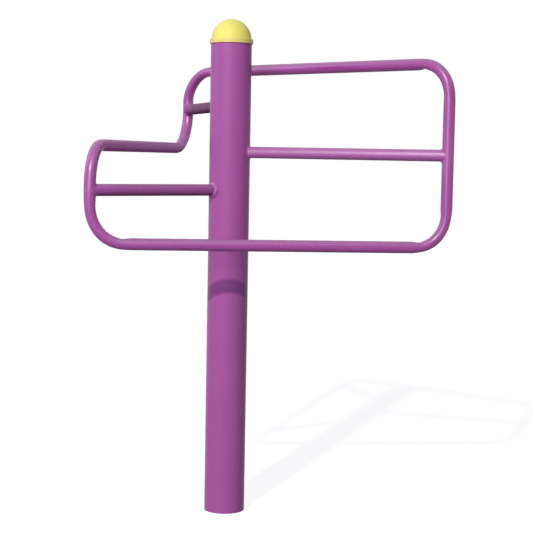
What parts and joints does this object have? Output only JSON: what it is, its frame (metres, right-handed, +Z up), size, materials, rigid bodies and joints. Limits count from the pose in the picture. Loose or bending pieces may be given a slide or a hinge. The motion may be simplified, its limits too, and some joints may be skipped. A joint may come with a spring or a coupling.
{
  "type": "outdoor leg stretcher",
  "caption": "Capped upright post with a loop of bent tube round it at low, middle and high level, held by radial struts, for resting a leg on while stretching.",
  "frame": {"origin": "on the post's axis, in the plane of its lower end, at the ground", "axes": "+Z up along the post; +X from the post towards the right-hand corner of the bar loop; the low bar is on the -Y side, which is the front"},
  "size_m": [0.905, 0.762, 1.3835],
  "materials": {
    "bar_paint": "satin purple powder coat on steel tube",
    "cap_plastic": "satin yellow moulded plastic"
  },
  "bodies": {
    "root": {"post": "bar_paint", "post_cap": "cap_plastic", "low_bar": "bar_paint", "middle_bar": "bar_paint", "high_bar": "bar_paint", "right_strut": "bar_paint", "left_strut": "bar_paint", "rear_strut": "bar_paint", "right_post_weld": "bar_paint", "left_post_weld": "bar_paint", "rear_post_weld": "bar_paint", "right_corner_weld": "bar_paint", "left_corner_weld": "bar_paint", "rear_corner_weld": "bar_paint"}
  },
  "joints": []
}
